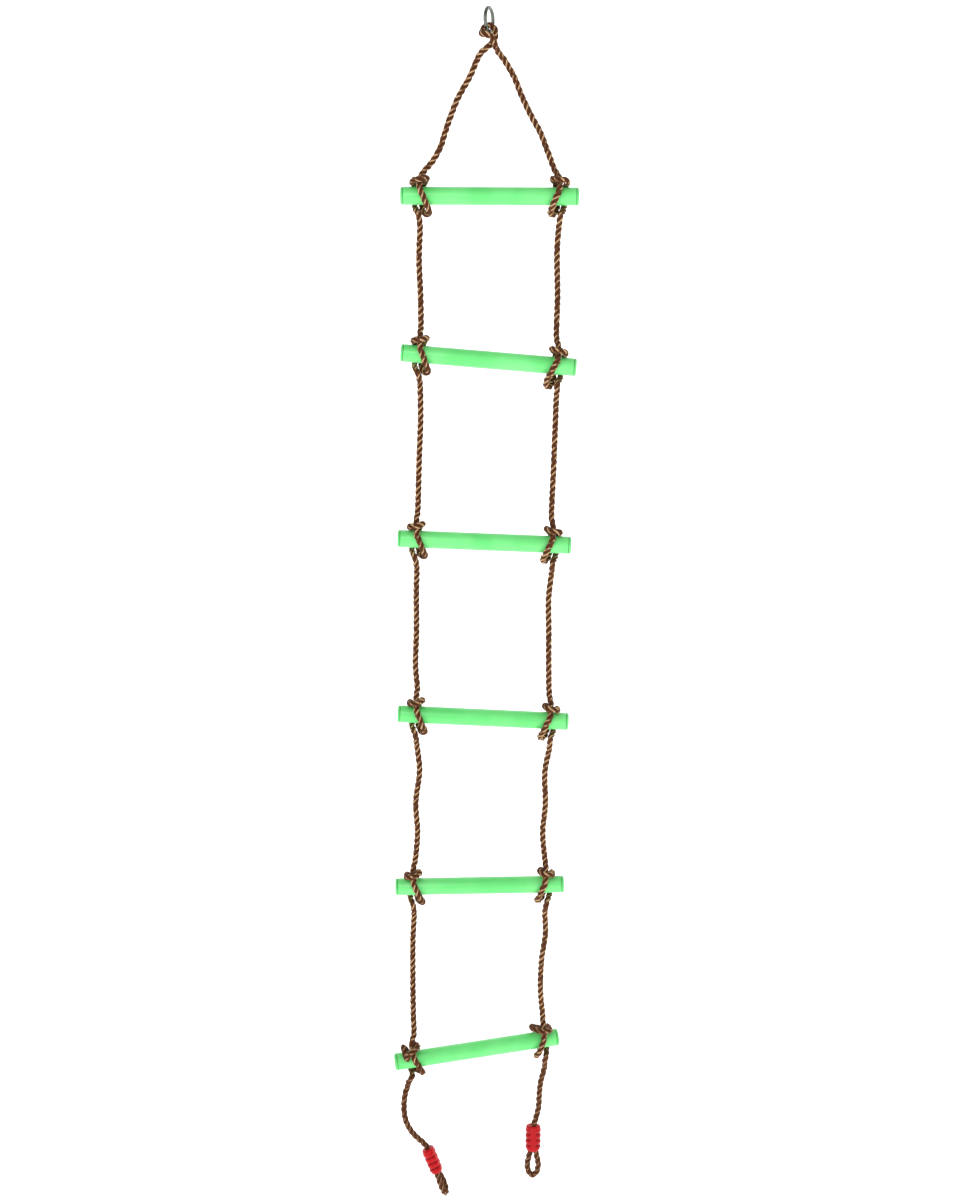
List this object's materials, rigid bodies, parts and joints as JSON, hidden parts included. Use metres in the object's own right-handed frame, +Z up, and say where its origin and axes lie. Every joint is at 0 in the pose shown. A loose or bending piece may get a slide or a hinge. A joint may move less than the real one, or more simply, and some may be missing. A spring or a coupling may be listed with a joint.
{
  "type": "rope ladder",
  "caption": "Hanging rope ladder: capped tubular plastic rungs knotted into one laid rope doubled through a steel ring, with clamped rope eyes at the tail ends.",
  "frame": {"origin": "inside top of the hanging ring, where a hook bears", "axes": "+Z up along the hanging ladder, +X along the rungs towards the right-hand end, -Y towards the front"},
  "size_m": [0.3085, 0.0979, 2.086],
  "materials": {
    "ring_steel": "polished, slightly darkened round-wire steel",
    "rope_fibre": "three-strand laid rope, dark brown yarns with a light tan band in each strand",
    "rung_plastic": "satin moulded light green tube",
    "cap_plastic": "satin moulded light green end cap",
    "clamp_plastic": "satin moulded red"
  },
  "bodies": {
    "ring": {"hang_ring": "ring_steel"},
    "crown": {"crown_knot": "rope_fibre"},
    "head": {"leg_left": "rope_fibre", "leg_right": "rope_fibre", "hitch_1_left": "rope_fibre", "hitch_1_right": "rope_fibre"},
    "bay_2": {"bay_rope_2_left": "rope_fibre", "bay_rope_2_right": "rope_fibre", "hitch_2_left": "rope_fibre", "hitch_2_right": "rope_fibre"},
    "bay_3": {"bay_rope_3_left": "rope_fibre", "bay_rope_3_right": "rope_fibre", "hitch_3_left": "rope_fibre", "hitch_3_right": "rope_fibre"},
    "bay_4": {"bay_rope_4_left": "rope_fibre", "bay_rope_4_right": "rope_fibre", "hitch_4_left": "rope_fibre", "hitch_4_right": "rope_fibre"},
    "bay_5": {"bay_rope_5_left": "rope_fibre", "bay_rope_5_right": "rope_fibre", "hitch_5_left": "rope_fibre", "hitch_5_right": "rope_fibre"},
    "bay_6": {"bay_rope_6_left": "rope_fibre", "bay_rope_6_right": "rope_fibre", "hitch_6_left": "rope_fibre", "hitch_6_right": "rope_fibre"},
    "rung_1": {"rung_1_tube": "rung_plastic", "rung_1_cap_left": "cap_plastic", "rung_1_cap_right": "cap_plastic"},
    "rung_2": {"rung_2_tube": "rung_plastic", "rung_2_cap_left": "cap_plastic", "rung_2_cap_right": "cap_plastic"},
    "rung_3": {"rung_3_tube": "rung_plastic", "rung_3_cap_left": "cap_plastic", "rung_3_cap_right": "cap_plastic"},
    "rung_4": {"rung_4_tube": "rung_plastic", "rung_4_cap_left": "cap_plastic", "rung_4_cap_right": "cap_plastic"},
    "rung_5": {"rung_5_tube": "rung_plastic", "rung_5_cap_left": "cap_plastic", "rung_5_cap_right": "cap_plastic"},
    "rung_6": {"rung_6_tube": "rung_plastic", "rung_6_cap_left": "cap_plastic", "rung_6_cap_right": "cap_plastic"},
    "tail_left": {"tail_left": "rope_fibre", "clamp_left_front": "clamp_plastic", "clamp_left_back": "clamp_plastic"},
    "tail_right": {"tail_right": "rope_fibre", "clamp_right_front": "clamp_plastic", "clamp_right_back": "clamp_plastic"}
  },
  "joints": [
    {"name": "crown_turn", "type": "hinge", "parent": "ring", "child": "crown", "pos_m": [0, 0, -0.035], "axis": [0.342, 0.9397, 0], "range_deg": [-35, 35]},
    {"name": "head_swing", "type": "hinge", "parent": "crown", "child": "head", "pos_m": [0.003, -0.001, -0.078], "axis": [1, 0, 0], "range_deg": [-45, 45]},
    {"name": "bay_2_swing", "type": "hinge", "parent": "head", "child": "bay_2", "pos_m": [-0.113, 0, -0.35461], "axis": [1, 0, 0.0052], "range_deg": [-45, 45]},
    {"name": "bay_3_swing", "type": "hinge", "parent": "bay_2", "child": "bay_3", "pos_m": [-0.11169, 0, -0.61843], "axis": [0.9973, 0, -0.0732], "range_deg": [-45, 45]},
    {"name": "bay_4_swing", "type": "hinge", "parent": "bay_3", "child": "bay_4", "pos_m": [-0.11595, 0, -0.93553], "axis": [0.9996, 0, -0.0297], "range_deg": [-45, 45]},
    {"name": "bay_5_swing", "type": "hinge", "parent": "bay_4", "child": "bay_5", "pos_m": [-0.11492, 0, -1.24571], "axis": [0.9993, 0, -0.0366], "range_deg": [-45, 45]},
    {"name": "bay_6_swing", "type": "hinge", "parent": "bay_5", "child": "bay_6", "pos_m": [-0.11795, 0, -1.55927], "axis": [0.9996, 0, 0.0279], "range_deg": [-45, 45]},
    {"name": "rung_1_roll", "type": "hinge", "parent": "head", "child": "rung_1", "pos_m": [0.004, 0, -0.302], "axis": [1, 0, 0.005], "continuous": true},
    {"name": "rung_2_roll", "type": "hinge", "parent": "bay_2", "child": "rung_2", "pos_m": [0.005, 0, -0.575], "axis": [0.9973, 0, -0.073], "continuous": true},
    {"name": "rung_3_roll", "type": "hinge", "parent": "bay_3", "child": "rung_3", "pos_m": [0.001, 0, -0.887], "axis": [0.9996, 0, -0.03], "continuous": true},
    {"name": "rung_4_roll", "type": "hinge", "parent": "bay_4", "child": "rung_4", "pos_m": [0.002, 0, -1.198], "axis": [0.9993, 0, -0.037], "continuous": true},
    {"name": "rung_5_roll", "type": "hinge", "parent": "bay_5", "child": "rung_5", "pos_m": [-0.001, 0, -1.504], "axis": [0.9996, 0, 0.028], "continuous": true},
    {"name": "rung_6_roll", "type": "hinge", "parent": "bay_6", "child": "rung_6", "pos_m": [-0.003, 0, -1.812], "axis": [0.9822, 0.156, 0.105], "continuous": true},
    {"name": "tail_left_swing", "type": "hinge", "parent": "bay_6", "child": "tail_left", "pos_m": [-0.12793, -0.0182, -1.87623], "axis": [1, 0, 0], "range_deg": [-45, 45]},
    {"name": "tail_right_swing", "type": "hinge", "parent": "bay_6", "child": "tail_right", "pos_m": [0.12084, 0.01898, -1.85125], "axis": [1, 0, 0], "range_deg": [-45, 45]}
  ]
}
